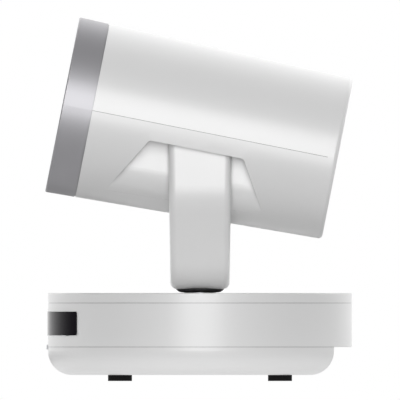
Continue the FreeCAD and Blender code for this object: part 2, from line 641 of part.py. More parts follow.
def hollow_outline(outset, top):
    """The space between the arms seen from the front, grown by outset."""
    right = [
        (f"arm_inner + {outset}", top), (f"arm_inner + {outset}", "inner_knee", f"-(inner_bend + {outset})"),
        (f"inner_centre + (inner_bend + {outset}) * cos(inner_slope)",
         f"inner_knee - (inner_bend + {outset}) * sin(inner_slope)"),
        (f"inner_foot_x + (inner_rounding + {outset}) * cos(inner_slope)",
         f"inner_foot_z - (inner_rounding + {outset}) * sin(inner_slope)", f"-(inner_rounding + {outset})"),
        ("inner_foot_x", f"fork_inside - {outset}")]
    return both_sides(right)


def both_sides(right):
    """Adds the mirror image of an outline's right half; an arc belongs to the corner it leaves."""
    left = []
    for i, corner in enumerate(reversed(right)):
        arc_before = right[len(right) - 2 - i][2:] if i < len(right) - 1 else ()
        left.append((f"-({corner[0]})", corner[1]) + tuple(arc_before))
    return right + left


def fork_side(inset, top):
    """The fork's tapering width seen from the side."""
    return padded("YZ", [
        (f"-fork_width / 2 + {inset}", "base_top"), (f"fork_width / 2 - {inset}", "base_top"),
        (f"arm_width / 2 - {inset}", top), (f"-arm_width / 2 + {inset}", top)], "4 * arm_outer", both=True)


def rounded_fork():
    """The whole fork as one form, its long outer edges rounded."""
    form = shared(padded("XZ", fork_outline("0", "tilt_height"), "3 * arm_width", both=True),
                  fork_side("0", "tilt_height"))
    doc.recompute()
    edges = []
    for i, edge in enumerate(form.Shape.Edges, 1):
        middle = edge.valueAt((edge.FirstParameter + edge.LastParameter) / 2)
        across = abs(edge.Vertexes[0].Y - edge.Vertexes[-1].Y)
        if middle.z < value("tilt_height") - 0.1 and across < value("arm_width") / 2:
            edges.append((i, value("fork_edge"), value("fork_edge")))
    rounding = doc.addObject("Part::Fillet", "ForkEdges")
    rounding.Base = form
    rounding.Edges = edges
    return rounding


def make_fork():
    form = rounded_fork()
    over = "tilt_height + 20"
    liner_space = padded("XZ", hollow_outline("liner_wall", over), "3 * arm_width", both=True)
    open_space = padded("XZ", hollow_outline("0", over), "3 * arm_width", both=True)
    inside = shared(padded("XZ", fork_outline("fork_wall", over), "3 * arm_width", both=True),
                    fork_side("fork_wall", over))
    pivot_hole = rod("trunnion_radius + pivot_gap", "4 * arm_outer",
                     ("-2 * arm_outer", "0", "tilt_height"), "X")
    shaft_hole = rod("pan_shaft_radius + clear_gap", "20", ("0", "0", "base_top"))
    node(cut(form, inside, liner_space, shaft_hole), "fork_shell")
    node(cut(shared(form, liner_space), open_space, pivot_hole), "fork_inner_cover")
    make_fork_frame(over)
    make_collar()


def make_fork_frame(over):
    """The bent metal strip between the fork's shell and its liner."""
    strip = cut(padded("XZ", hollow_outline("frame_far", over), "frame_half_width * 2", both=True),
                padded("XZ", hollow_outline("frame_near", over + " + 5"), "3 * arm_width", both=True))
    ends = padded("YZ", [
        ("-frame_half_width", "base_top"), ("frame_half_width", "base_top"),
        ("frame_half_width", "tilt_height", "frame_half_width"), ("-frame_half_width", "tilt_height")],
        "4 * arm_outer", both=True)
    pivots = rod("trunnion_radius + slide_gap", "4 * arm_outer", ("-2 * arm_outer", "0", "tilt_height"), "X")
    bore = rod("pan_shaft_bore", "40", ("0", "0", "base_top"))
    node(cut(shared(strip, ends), pivots, bore, *fork_bolts("slide_gap")), "fork_frame")


def make_collar():
    """The collar reaches up round the fork's curved foot."""
    foot = "base_top + collar_gap"
    collar = turned([
        ("pan_shaft_radius + slide_gap", foot), ("collar_foot", foot, "collar_curve"),
        ("collar_radius", "fork_bottom"), ("collar_radius", "collar_top"),
        ("pan_shaft_radius + slide_gap", "collar_top")])
    fork = padded("XZ", fork_outline("0", "tilt_height"), "3 * arm_width", both=True)
    node(cut(collar, fork), "pan_collar")


def fork_bolts(gap):
    """The four flush bolts that hold the fork's frame to the pan shaft's flange."""
    bolts = []
    for i in range(4):
        angle = f"(45 + {i} * 90)"
        at = [f"(flange_radius - fork_bolt_inset) * {turn}({angle})" for turn in ("cos", "sin")]
        shank = rod(f"screw_radius + {gap}", "frame_thickness + flange_thickness",
                    (*at, "frame_floor - flange_thickness"))
        head = doc.addObject("Part::Cone", "ScrewHead")
        tie(head, Radius1=f"screw_radius + {gap}", Radius2=f"screw_head_radius + {gap}",
            Height="screw_head_height")
        place(head, (*at, "frame_floor + frame_thickness - screw_head_height"))
        bolts.append(joined(shank, head))
    return bolts


def make_pan_shaft():
    flange_low = "frame_floor - flange_thickness"
    low = "pan_gear_height - 0.7"
    shoulder = "race_inner + race_wall - race_lip"
    shaft = turned([
        ("pan_shaft_bore", low), ("pan_shaft_radius", low), ("pan_shaft_radius", "race_top"),
        (shoulder, "race_top"), (shoulder, "race_top + 2"),
        ("pan_shaft_radius", "race_top + 2"), ("pan_shaft_radius", flange_low),
        ("flange_radius", flange_low), ("flange_radius", "frame_floor"), ("pan_shaft_bore", "frame_floor")])
    node(cut(shaft, *fork_bolts("slide_gap")), "pan_shaft")
    wheel = gear(int(SIZES["pan_gear_teeth"]), value("pan_module"), value("pan_gear_width"), 0, 0, True)
    place(wheel, ("0", "0", "pan_gear_height"))
    hub = rod("pan_shaft_radius + pan_hub_wall", "pan_gear_width + 1", ("0", "0", "pan_gear_height"))
    relief = [rod("pan_relief_radius", "20", (f"pan_relief_ring * cos({i} * 60 + 30)",
                                              f"pan_relief_ring * sin({i} * 60 + 30)", "pan_gear_height - 5"))
              for i in range(6)]
    node(cut(joined(wheel, hub), rod("pan_shaft_radius + slide_gap", "20", ("0", "0", "pan_gear_height - 5")),
             *relief), "pan_gear")
    node(tube(shoulder, "pan_shaft_radius + slide_gap", "retaining_ring_height",
              ("0", "0", "plate_top - retaining_ring_height")), "pan_retaining_ring")
    node(group(*fork_bolts("0")), "fork_screws")


# ---- head ----------------------------------------------------------------------------------


def barrel_radius(z, inset="0"):
    return f"(front_radius - taper * (half_length + {z}) - ({inset}))"


def upper_half():
    """The upper half of the tapering barrel's skin."""
    skin = turned([
        (barrel_radius("shell_front", "barrel_wall"), "shell_front"),
        (barrel_radius("shell_front"), "shell_front"),
        (barrel_radius("cap_front"), "cap_front"), (barrel_radius("cap_front", "barrel_wall"), "cap_front")])
    return shared(skin, block(("-2 * front_radius", "-2 * front_radius", "-half_length"),
                              ("2 * front_radius", "0", "half_length")))


def barrel_groove():
    """The shallow seam where the barrel's halves meet."""
    layer = block(("-2 * front_radius", "-barrel_seam / 2", "-half_length"),
                  ("2 * front_radius", "barrel_seam / 2", "half_length"))
    return cut(layer, barrel_core("barrel_seam_depth"))


def barrel_core(inset):
    cone = doc.addObject("Part::Cone", "Core")
    tie(cone, Radius1=f"front_radius - {inset}", Radius2=f"rear_radius - {inset}", Height="barrel_length")
    return place(cone, ("0", "0", "-half_length"))


def recess_section(z, inset, top):
    """Across the barrel: everything outside the recess's floor, which rounds into the underside."""
    radius = barrel_radius(z)
    drop = f"sqrt(({radius} - recess_rounding)^2 - (recess_floor - recess_rounding)^2)"
    middle = "(recess_floor - recess_rounding)"
    reach = f"({radius} - {inset}) / ({radius} - recess_rounding)"
    sketch = doc.addObject("Sketcher::SketchObject", "RecessSection")
    tie(sketch, Placement__Base__z=z)
    draw(sketch, [
        (f"recess_floor - {inset}", top), (f"recess_floor - {inset}", drop, f"recess_rounding - {inset}"),
        (f"{middle} * {reach}", f"{drop} * {reach}"),
        (f"{middle} * {reach} * 1.3", f"{drop} * {reach} * 1.3"),
        ("2 * front_radius", f"{drop} * 1.9"), ("2 * front_radius", top)])
    return sketch


def recess(inset, top):
    """The hollow beside the barrel that the arm swings in, or grown by a wall."""
    loft = doc.addObject("Part::Loft", "RecessSides")
    loft.Sections = [recess_section("-half_length", inset, top), recess_section("half_length", inset, top)]
    loft.Solid = True
    loft.Ruled = True
    high = f"(recess_half_length + {inset} / cos(recess_slope) - (recess_top - {top}) * tan(recess_slope))"
    low = f"({high} + (2 * front_radius - {top}) * tan(recess_slope))"
    run = "(recess_corner * tan(45 - recess_slope / 2))"
    down, out = f"({top} + {run} * cos(recess_slope))", f"({high} + {run} * sin(recess_slope))"
    trapezoid = padded("YZ", [
        (top, f"-({high} - {run})", "recess_corner"), (down, f"-{out}"), ("2 * front_radius", f"-{low}"),
        ("2 * front_radius", low), (down, out, "recess_corner"), (top, f"{high} - {run}")],
        "4 * front_radius", both=True)
    half = shared(trapezoid, loft)
    return joined(half, mirrored(half, X))


def arm_slot():
    """Opens the recess's roof, inside the skin, to the arm's top."""
    layer = block(("-2 * front_radius", "0", "-recess_half_length"),
                  ("2 * front_radius", "recess_top + 0.1", "recess_half_length"))
    inside = shared(barrel_core("barrel_wall"), layer)
    return cut(inside, block(("-recess_floor", "-5", "-half_length"), ("recess_floor", "20", "half_length")))


def column_spots():
    return [("0", z) for z in ("-housing_half_length", "housing_half_length")]


def make_lower_barrel():
    outer = shared(barrel_core("0"), block(("-2 * front_radius", "0", "shell_front"),
                                           ("2 * front_radius", "2 * front_radius", "cap_front")))
    core = cut(barrel_core("barrel_wall"), recess("pocket_wall", "pocket_top"))
    columns = [shared(barrel_core("column_inset"),
                      rod("column_radius", "front_radius", (x, "chassis_half_height", z), "Y"))
               for x, z in column_spots()]
    shanks = [rod("shell_screw_radius + fit_gap", "2 * front_radius", (x, "chassis_half_height - 1", z), "Y")
              for x, z in column_spots()]
    heads = [rod("shell_screw_head + 2 * fit_gap", "20", (x, "front_radius - shell_screw_sink", z), "Y")
             for x, z in column_spots()]
    tube_room = rod("lens_tube_radius + fit_gap", "lens_tube_front - chassis_half_length",
                    ("0", "0", "-lens_tube_front"))
    shell = cut(outer, core, recess("0", "recess_top"), barrel_groove(), arm_slot())
    return node(on_head(cut(joined(shell, *columns), *shanks, *heads, tube_room)), "barrel_lower_shell")


def make_barrel():
    node(on_head(cut(upper_half(), barrel_groove())), "barrel_upper_shell")
    make_lower_barrel()
    neck = barrel_radius("shell_front", "ring_groove")
    sleeve = barrel_radius("ring_end + ring_sleeve", "barrel_wall + fit_gap")
    node(on_head(turned([
        ("ring_bore", "-half_length"), ("front_radius - ring_chamfer", "-half_length"),
        ("front_radius - taper * ring_chamfer", "-half_length + ring_chamfer"),
        (barrel_radius("ring_end"), "ring_end"),
        (neck, "ring_end"), (neck, "shell_front - slide_gap"), (sleeve, "shell_front - slide_gap"),
        (sleeve, "ring_end + ring_sleeve"), ("ring_bore", "ring_end + ring_sleeve")])),
        "front_ring")
    lip = barrel_radius("cap_front", "barrel_wall + fit_gap")
    edge = barrel_radius("half_length - cap_rounding")
    node(on_head(turned([
        ("0", "half_length - barrel_wall"), (f"{lip} - cap_lip", "half_length - barrel_wall"),
        (f"{lip} - cap_lip", "cap_front - cap_lip_length"), (lip, "cap_front - cap_lip_length"),
        (lip, "cap_front"),
        (barrel_radius("cap_front"), "cap_front"), (edge, "half_length - cap_rounding", "cap_rounding"),
        (f"{edge} - cap_rounding", "half_length"), ("0", "half_length")])), "rear_cap")
    start = "(chassis_half_height + clear_gap)"
    sink = "(front_radius - shell_screw_sink)"
    screws = [joined(rod("shell_screw_head", "shell_screw_head_height", (x, sink, z), "Y"),
                     rod("shell_screw_radius", f"{sink} + 0.8 - {start}", (x, start, z), "Y"))
              for x, z in column_spots()]
    node(on_head(group(*screws)), "barrel_screws")


def make_front():
    hood_back = "-glass_place + glass_thickness"
    sleeve = "lens_tube_radius + clear_gap"
    node(on_head(turned([
        ("ring_bore - fit_gap", "-hood_front"), ("ring_bore - fit_gap - hood_lip", "-hood_front"),
        ("glass_radius + fit_gap", "-glass_place - 1"),
        ("glass_radius + fit_gap", f"{hood_back} + glass_seat"),
        (sleeve, f"{hood_back} + glass_seat"), (sleeve, "-lens_tube_front + 1"),
        (f"{sleeve} + hood_wall", "-lens_tube_front + 1"),
        (f"{sleeve} + hood_wall", f"{hood_back} + hood_wall"),
        ("ring_bore - fit_gap", f"{hood_back} + hood_wall")])), "front_hood")
    node(on_head(rod("glass_radius", "glass_thickness", ("0", "0", "-glass_place"))), "front_glass")
    plate_front = "-chassis_half_length"
    node(on_head(turned([
        ("lens_tube_bore", "-lens_tube_front"), ("lens_tube_radius", "-lens_tube_front"),
        ("lens_tube_radius", plate_front), ("lens_tube_foot_bore", plate_front),
        ("lens_tube_foot_bore", f"{plate_front} - lens_tube_foot"),
        ("lens_tube_bore", f"{plate_front} - lens_tube_foot")])), "lens_tube")
    edge = "lens_tube_bore - fit_gap"
    front = "(-lens_tube_front + front_lens_depth)"
    lens = shared(rod(edge, "front_lens_length", ("0", "0", front)),
                  ball("front_lens_curve", ("0", "0", f"{front} + front_lens_curve")))
    node(on_head(lens), "front_lens")
    node(on_head(tube(edge, f"{edge} - retainer_wall", "retainer_length",
                      ("0", "0", "-lens_tube_front + retainer_depth"))), "lens_retainer")


def make_chassis():
    wall = "chassis_wall"
    sides = []
    for left, right in (("plate_side", f"plate_side + {wall}"), (f"-plate_side - {wall}", "-plate_side")):
        sides.append(block((left, "-chassis_half_height", "-chassis_half_length"),
                           (right, "chassis_half_height", "chassis_half_length")))
        sides.append(block((left, "chassis_half_height", "-cheek_half"),
                           (right, "chassis_drop", "cheek_half")))
    for low, high in (("-chassis_half_length", "-housing_half_length"),
                      ("housing_half_length", "chassis_half_length")):
        sides.append(block((f"-plate_side - {wall}", "-chassis_half_height", low),
                           (f"plate_side + {wall}", "chassis_half_height", high)))
    bush_holes = rod("bush_radius + slide_gap", "4 * arm_outer", ("-2 * arm_outer", "0", "0"), "X")
    light_path = rod("lens_radius + 1", "barrel_length", ("0", "0", "-half_length"))
    sides += corner_posts(
        lambda x, y: rod("headboard_post_radius", "headboard_place - chassis_half_length + 0.01",
                         (x, y, "chassis_half_length - 0.01")),
        ("-headboard_post_side", "headboard_post_side"), ("-headboard_post_height", "headboard_post_height"))
    node(on_head(cut(joined(*sides), bush_holes, light_path)), "head_chassis")


def make_tilt_bushes():
    sleeve = rod("bush_radius", "bush_inside + bush_outside", ("plate_side - bush_inside", "0", "0"), "X")
    flange = rod("bush_flange", "bush_flange_height", ("plate_side + chassis_wall", "0", "0"), "X")
    right = cut(joined(sleeve, flange), rod("trunnion_radius + rod_play", "60", axis="X"))
    node(on_head(group(right, mirrored(right, X))), "tilt_bushes")


def make_tilt_trunnions():
    face = "(arm_inner + frame_far)"
    right = joined(rod("trunnion_radius", f"{face} - trunnion_reach", ("trunnion_reach", "0", "0"), "X"),
                   rod("trunnion_radius + trunnion_head", "trunnion_head_height", (face, "0", "0"), "X"))
    node(on_head(group(right, mirrored(right, X))), "tilt_trunnions")


def across(thing, x, y="0", z="0"):
    """Turns a piece drawn about z so that it lies across the head."""
    thing.Placement = FreeCAD.Placement(FreeCAD.Vector(), TURN["X"])
    return place(thing, (x, y, z))


def make_tilt_drive():
    module, width = value("tilt_module"), value("tilt_gear_width")
    wheel = across(gear(int(SIZES["tilt_gear_teeth"]), module, width, 0, 90, True), "tilt_gear_side")
    relief = [rod("tilt_relief_radius", "60", ("0", f"tilt_relief_ring * sin({i} * 60)",
                                               f"tilt_relief_ring * cos({i} * 60)"), "X") for i in range(6)]
    bore = rod("trunnion_radius + slide_gap", "60", ("0", "0", "0"), "X")
    node(on_head(cut(wheel, bore, *relief)), "tilt_gear")
    pinion = across(gear(int(SIZES["tilt_pinion_teeth"]), module, width, 0, 270, False),
                    "tilt_gear_side", "tilt_spacing")
    shaft = rod("tilt_shaft_radius", "tilt_gear_width + tilt_shaft_reach",
                ("tilt_gear_side - tilt_shaft_reach", "tilt_spacing", "0"), "X")
    node(on_head(joined(pinion, shaft)), "tilt_pinion")
    face = "(tilt_gear_side - tilt_motor_gap)"
    can = rod("tilt_motor_radius", "tilt_motor_length",
              (f"{face} - tilt_motor_length", "tilt_spacing", "0"), "X")
    ears = block((f"{face} - tilt_ear_thickness", "tilt_spacing - 3", "-tilt_ear_half"),
                 (face, "tilt_spacing + 3.6", "tilt_ear_half"))
    posts = [rod("tilt_post_radius", f"plate_side - {face}", (face, "tilt_spacing + 2", z), "X")
             for z in ("-tilt_post_spread", "tilt_post_spread")]
    hole = rod("tilt_shaft_radius + slide_gap", "40",
               ("tilt_gear_side - tilt_shaft_reach - 0.5", "tilt_spacing", "0"), "X")
    node(on_head(cut(joined(can, ears, *posts), hole)), "tilt_motor")


def rod_pair(radius, low, length):
    return [rod(radius, length, (spot, spot, low)) for spot in ("-rod_place", "rod_place")]


def make_lens_module():
    half, skin, reach = "housing_half", "housing_skin", "housing_half_length"
    case = cut(block((f"-{half}", f"-{half}", f"-{reach}"), (half, half, reach)),
               block((f"-{half} + {skin}", f"-{half} + {skin}", f"-{reach} - 1"),
                     (f"{half} - {skin}", f"{half} - {skin}", f"{reach} + 1")))
    node(on_head(case), "lens_housing")
    node(on_head(group(*rod_pair("rod_radius", f"-{reach}", f"2 * {reach} - 3"))), "guide_rods")
    for name, spot in (("zoom", "zoom_place"), ("focus", "focus_place")):
        plate = block(("-carrier_half", "-carrier_half", spot),
                      ("carrier_half", "carrier_half", f"{spot} + carrier_length"))
        carrier = cut(plate, rod("lens_radius + slide_gap", "40", ("0", "0", f"{spot} - 5")),
                      *rod_pair("rod_radius + rod_play", f"{spot} - 5", "40"))
        node(on_head(carrier), f"{name}_carrier")
        lens = shared(rod("lens_radius", "carrier_length", ("0", "0", spot)),
                      ball("lens_curve", ("0", "0", f"{spot} + lens_edge + lens_curve")),
                      ball("lens_curve", ("0", "0", f"{spot} + carrier_length - 0.2 - lens_curve")))
        node(on_head(lens), f"{name}_lens")
    above = f"-{half} - lens_motor_radius - fit_gap"
    motors = [joined(rod("lens_motor_radius", "lens_motor_length", (x, above, z)),
                     rod("lens_screw_radius", "lens_screw_length", (x, above, f"{z} - lens_screw_length")))
              for x, z in (("-lens_motor_side", "-22"), ("lens_motor_side", "8"))]
    node(on_head(group(*motors)), "lens_motors")


def make_head_boards():
    inner = "(housing_half - housing_skin - fit_gap)"
    node(on_head(block((f"-{inner}", f"-{inner}", "sensor_place"),
                       (inner, inner, "sensor_place + board_thickness"))), "sensor_board")
    node(on_head(block(("-sensor_half_width", "-sensor_half_height", "sensor_place - sensor_thickness"),
                       ("sensor_half_width", "sensor_half_height", "sensor_place"))), "image_sensor")
    wide, tall = "headboard_half_width", "headboard_half_height"
    node(on_head(block((f"-{wide}", f"-{tall}", "headboard_place"),
                       (wide, tall, "headboard_place + board_thickness"))), "head_board")


# ---- check and write -----------------------------------------------------------------------


def check_and_write():
    doc.recompute()
    failed = [o.Label for o in doc.Objects if {"Invalid", "Error"} & set(o.State)]
    if failed:
        raise SystemExit(f"these objects failed: {failed}")
    os.makedirs("parts", exist_ok=True)
    for thing in nodes:
        if thing.Shape.isNull() or not thing.Shape.isValid() or not thing.Shape.Solids:
            raise SystemExit(f"{thing.Label} has no valid solid")
    for thing in nodes:
        thing.Shape.exportStep(f"parts/{thing.Label}.step")
        box = thing.Shape.BoundBox
        spans = ((box.XMin, box.XMax), (box.YMin, box.YMax), (box.ZMin, box.ZMax))
        print(f"{thing.Label:26s} {len(thing.Shape.Solids):3d} solids {thing.Shape.Volume:11.1f} mm3 ",
              *(f"{low:7.1f} {high:7.1f} " for low, high in spans))
    print(len(nodes), "nodes")


make_lower_shell()
make_upper_shell()
make_top_cover()
make_base_front()
make_underside()
make_base_boards()
make_network_jack()
make_flat_jacks()
make_power_jack()
make_connector_panel()
make_chassis_plate()
make_pan_drive()
make_pan_bearing()
make_fork()
make_pan_shaft()
make_barrel()
make_front()
make_chassis()
make_tilt_bushes()
make_tilt_trunnions()
make_tilt_drive()
make_lens_module()
make_head_boards()
check_and_write()
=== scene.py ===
import json
import math

import bmesh
import bpy
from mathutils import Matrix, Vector

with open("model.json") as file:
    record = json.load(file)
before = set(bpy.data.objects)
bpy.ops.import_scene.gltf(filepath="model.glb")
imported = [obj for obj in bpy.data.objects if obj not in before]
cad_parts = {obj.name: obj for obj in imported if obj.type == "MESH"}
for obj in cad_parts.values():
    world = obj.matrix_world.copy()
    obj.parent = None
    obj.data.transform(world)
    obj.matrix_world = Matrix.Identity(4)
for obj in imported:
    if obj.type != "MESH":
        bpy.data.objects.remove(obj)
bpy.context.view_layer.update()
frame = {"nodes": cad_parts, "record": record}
print("frame loaded:", len(frame["nodes"]), "nodes")


# Shader maths: an output of a node, and what can be done with it.
class Wire:
    def __init__(self, tree, out=None):
        self.tree = tree
        self.out = out

    def add(self, kind, settings=None, inputs=None, take=0):
        made = self.tree.nodes.new(kind)
        for name, setting in (settings or {}).items():
            setattr(made, name, setting)
        for name, given in (inputs or {}).items():
            if isinstance(given, Wire):
                self.tree.links.new(given.out, made.inputs[name])
            else:
                made.inputs[name].default_value = given
        return Wire(self.tree, made.outputs[take] if made.outputs else None)

    def beside(self, name):  # another output of the same node
        return Wire(self.tree, self.out.node.outputs[name])

    def maths(self, operation, *parts):
        return self.add("ShaderNodeMath", {"operation": operation}, dict(enumerate(parts)))

    def __add__(self, other):
        return self.maths("ADD", self, other)

    def __radd__(self, other):
        return self.maths("ADD", other, self)

    def __sub__(self, other):
        return self.maths("SUBTRACT", self, other)

    def __rsub__(self, other):
        return self.maths("SUBTRACT", other, self)

    def __mul__(self, other):
        return self.maths("MULTIPLY", self, other)

    def __rmul__(self, other):
        return self.maths("MULTIPLY", other, self)

    def __lt__(self, other):
        return self.maths("LESS_THAN", self, other)


def startMaterial(name):
    material = bpy.data.materials.new(name)
    material.use_nodes = True
    material.node_tree.nodes.clear()
    return material, Wire(material.node_tree)


def place(wire):
    return wire.add("ShaderNodeTexCoord", take="Object")


def noise(wire, at, scale, detail=2.0):
    return wire.add("ShaderNodeTexNoise", {}, {"Vector": at, "Scale": scale, "Detail": detail})


# A Mix node takes colours at its sockets 6 and 7 and gives one at 2. It takes numbers at 2 and 3.
def blendColours(wire, amount, low, high):
    return wire.add("ShaderNodeMix", {"data_type": "RGBA"}, {"Factor": amount, 6: low, 7: high}, take=2)


def blendNumbers(wire, amount, low, high):
    return wire.add("ShaderNodeMix", {"data_type": "FLOAT"}, {"Factor": amount, 2: low, 3: high})


def bump(wire, height, strength, distance):
    return wire.add("ShaderNodeBump", {}, {"Height": height, "Strength": strength, "Distance": distance})


def ramp(wire, amount, start, end):
    return wire.add("ShaderNodeMapRange", {"interpolation_type": "SMOOTHSTEP"},
                    {"Value": amount, "From Min": start, "From Max": end})


def finishMaterial(wire, inputs):
    shader = wire.add("ShaderNodeBsdfPrincipled", {}, inputs)
    wire.add("ShaderNodeOutputMaterial", {}, {"Surface": shader})


def opaque(colour):
    return [*colour, 1]


# The piece's own colour where the amount is high, and a darker one where it is low.
def mottled(wire, amount, look):
    darker = [part * (1 - look["toneSpread"]) for part in look["colour"]]
    return blendColours(wire, amount, opaque(darker), opaque(look["colour"]))


# Painted shade: an occlusion term darkens the colour in seams and along the edges of recesses, where
# shade falls.
def paintShadeInCreases(wire, colour, look):
    clear = wire.add("ShaderNodeAmbientOcclusion", {"samples": look["paintedShadeSamples"]},
                     {"Distance": look["paintedShadeReach"]}, take="AO")
    clear = ramp(wire, clear, 0.0, look["paintedShadeEnd"])
    return blendColours(wire, clear, opaque(look["paintedShadeColour"]), colour)


# One recipe for moulded, painted and cast surfaces: a little variation of tone, sheen and grain.
def surface(name, look):
    material, wire = startMaterial(name)
    at = place(wire)
    cloud = noise(wire, at, look["cloudScale"], detail=3.0)
    grain = noise(wire, at, look["grainScale"], detail=1.0)
    colour = mottled(wire, cloud, look)
    # Painted shade in seams and recess edges, for looks that ask for it.
    if "paintedShadeReach" in look:
        colour = paintShadeInCreases(wire, colour, look)
    inputs = {
        "Base Color": colour,
        "Roughness": cloud * look["roughnessSpread"] + (look["roughness"] - look["roughnessSpread"] / 2),
        "Metallic": look.get("metallic", 0.0),
        "Normal": bump(wire, grain, look["grainStrength"], look["grainDepth"]),
    }
    inputs.update(look.get("shader", {}))
    finishMaterial(wire, inputs)
    return material


# Turned and drawn metal: fine lines round or along one axis.
def brushedMetal(name, look):
    material, wire = startMaterial(name)
    at = place(wire)
    stretched = wire.add("ShaderNodeMapping", {}, {"Vector": at, "Scale": look["stretch"]})
    lines = noise(wire, stretched, look["lineScale"])
    cloud = noise(wire, at, look["cloudScale"])
    finishMaterial(wire, {
        "Base Color": mottled(wire, lines * 0.5 + cloud * 0.5, look),
        "Roughness": lines * look["roughnessSpread"] + look["roughness"],
        "Metallic": 1.0,
        "Normal": bump(wire, lines, look["lineStrength"], look["lineDepth"]),
    })
    return material


whiteShell = {
    "colour": (0.80, 0.80, 0.80), "toneSpread": 0.015, "cloudScale": 30,
    "roughness": 0.33, "roughnessSpread": 0.04, "shader": {"IOR": 1.75},
    "grainScale": 2600, "grainStrength": 0.10, "grainDepth": 0.00002,
    # Painted shade: this dark colour is blended in where seams and recess edges are occluded. It is not a
    # colour of the plastic.
    "paintedShadeReach": 0.0012, "paintedShadeColour": (0.10, 0.10, 0.10), "paintedShadeEnd": 0.85, "paintedShadeSamples": 8,
}
silverPaint = {
    "colour": (0.42, 0.415, 0.435), "toneSpread": 0.04, "cloudScale": 2400, "metallic": 0.40,
    "roughness": 0.42, "roughnessSpread": 0.08,
    "grainScale": 3200, "grainStrength": 0.10, "grainDepth": 0.00002,
}
smokedWindow = {
    "colour": (0.012, 0.010, 0.014), "toneSpread": 0.3, "cloudScale": 60,
    "roughness": 0.10, "roughnessSpread": 0.03,
    "grainScale": 500, "grainStrength": 0.02, "grainDepth": 0.00002,
    "shader": {"IOR": 1.15},
}
blackGloss = {
    "colour": (0.012, 0.012, 0.013), "toneSpread": 0.25, "cloudScale": 80,
    "roughness": 0.22, "roughnessSpread": 0.06,
    "grainScale": 1800, "grainStrength": 0.05, "grainDepth": 0.00002,
}
blackPlastic = {
    "colour": (0.022, 0.022, 0.024), "toneSpread": 0.3, "cloudScale": 120,
    "roughness": 0.55, "roughnessSpread": 0.12,
    "grainScale": 2600, "grainStrength": 0.25, "grainDepth": 0.00003,
}
chipPlastic = {
    "colour": (0.03, 0.03, 0.032), "toneSpread": 0.3, "cloudScale": 400,
    "roughness": 0.5, "roughnessSpread": 0.15,
    "grainScale": 4000, "grainStrength": 0.2, "grainDepth": 0.00002,
}
footRubber = {
    "colour": (0.008, 0.008, 0.008), "toneSpread": 0.35, "cloudScale": 260,
    "roughness": 0.78, "roughnessSpread": 0.16,
    "grainScale": 1800, "grainStrength": 0.4, "grainDepth": 0.00005,
    "shader": {"IOR": 1.22},
}
gearPlastic = {
    "colour": (0.78, 0.76, 0.69), "toneSpread": 0.05, "cloudScale": 200,
    "roughness": 0.4, "roughnessSpread": 0.1,
    "grainScale": 1500, "grainStrength": 0.1, "grainDepth": 0.00002,
}
lightPipe = {
    "colour": (0.60, 0.61, 0.63), "toneSpread": 0.06, "cloudScale": 900,
    "roughness": 0.3, "roughnessSpread": 0.1,
    "grainScale": 5000, "grainStrength": 0.2, "grainDepth": 0.00002,
}
castAluminium = {
    "colour": (0.55, 0.56, 0.58), "toneSpread": 0.12, "cloudScale": 300, "metallic": 1.0,
    "roughness": 0.42, "roughnessSpread": 0.16,
    "grainScale": 1400, "grainStrength": 0.3, "grainDepth": 0.00004,
}
turnedBrass = {
    "colour": (0.72, 0.53, 0.24), "toneSpread": 0.15, "cloudScale": 120, "stretch": (0.08, 0.08, 1),
    "roughness": 0.22, "roughnessSpread": 0.16,
    "lineScale": 5000, "lineStrength": 0.15, "lineDepth": 0.00002,
}
platedSteel = {
    "colour": (0.56, 0.56, 0.58), "toneSpread": 0.12, "cloudScale": 150, "stretch": (1, 0.06, 0.06),
    "roughness": 0.24, "roughnessSpread": 0.18,
    "lineScale": 4000, "lineStrength": 0.12, "lineDepth": 0.00002,
}
bearingSteel = {
    "colour": (0.66, 0.66, 0.68), "toneSpread": 0.06, "cloudScale": 200, "stretch": (1, 1, 0.1),
    "roughness": 0.08, "roughnessSpread": 0.08,
    "lineScale": 3000, "lineStrength": 0.04, "lineDepth": 0.00001,
}
circuitBoard = {
    "mask": (0.010, 0.110, 0.045), "copper": (0.020, 0.190, 0.085), "pad": (0.60, 0.58, 0.50),
    "traceScale": 330, "traceWidth": 0.06, "traceStrength": 0.3, "traceDepth": 0.00003,
    "padScale": 420, "padSize": 0.16, "padMetallic": 0.9,
    "roughness": 0.35, "roughnessSpread": 0.15, "cloudScale": 300,
}
coverGlass = {
    "colour": (0.90, 0.92, 0.96), "toneSpread": 0.04, "smudgeScale": 60,
    "roughness": 0.02, "roughnessSpread": 0.03, "ior": 1.18,
}
lensGlass = {
    "colour": (0.42, 0.34, 0.66), "toneSpread": 0.04, "smudgeScale": 90,
    "roughness": 0.02, "roughnessSpread": 0.03, "ior": 1.42,
}


# A green board: copper traces along the edges of cells, and tinned pads.
def boardMaterial(name, look):
    material, wire = startMaterial(name)
    at = place(wire)
    cells = wire.add("ShaderNodeTexVoronoi", {"feature": "DISTANCE_TO_EDGE"},
                     {"Vector": at, "Scale": look["traceScale"]})
    traces = cells < look["traceWidth"]
    dots = wire.add("ShaderNodeTexVoronoi", {"feature": "F1"},
                    {"Vector": at, "Scale": look["padScale"]})
    pads = dots < look["padSize"]
    green = blendColours(wire, traces, opaque(look["mask"]), opaque(look["copper"]))
    finishMaterial(wire, {
        "Base Color": blendColours(wire, pads, green, opaque(look["pad"])),
        "Roughness": noise(wire, at, look["cloudScale"]) * look["roughnessSpread"] + look["roughness"],
        "Metallic": pads * look["padMetallic"],
        "Normal": bump(wire, traces, look["traceStrength"], look["traceDepth"]),
    })
    return material


# Tinted glass with faint smudges.
def glassMaterial(name, look):
    material, wire = startMaterial(name)
    smudge = noise(wire, place(wire), look["smudgeScale"], detail=3.0)
    finishMaterial(wire, {
        "Base Color": mottled(wire, smudge, look),
        "Roughness": smudge * look["roughnessSpread"] + look["roughness"],
        "IOR": look["ior"],
        "Transmission Weight": 1.0,
    })
    return material


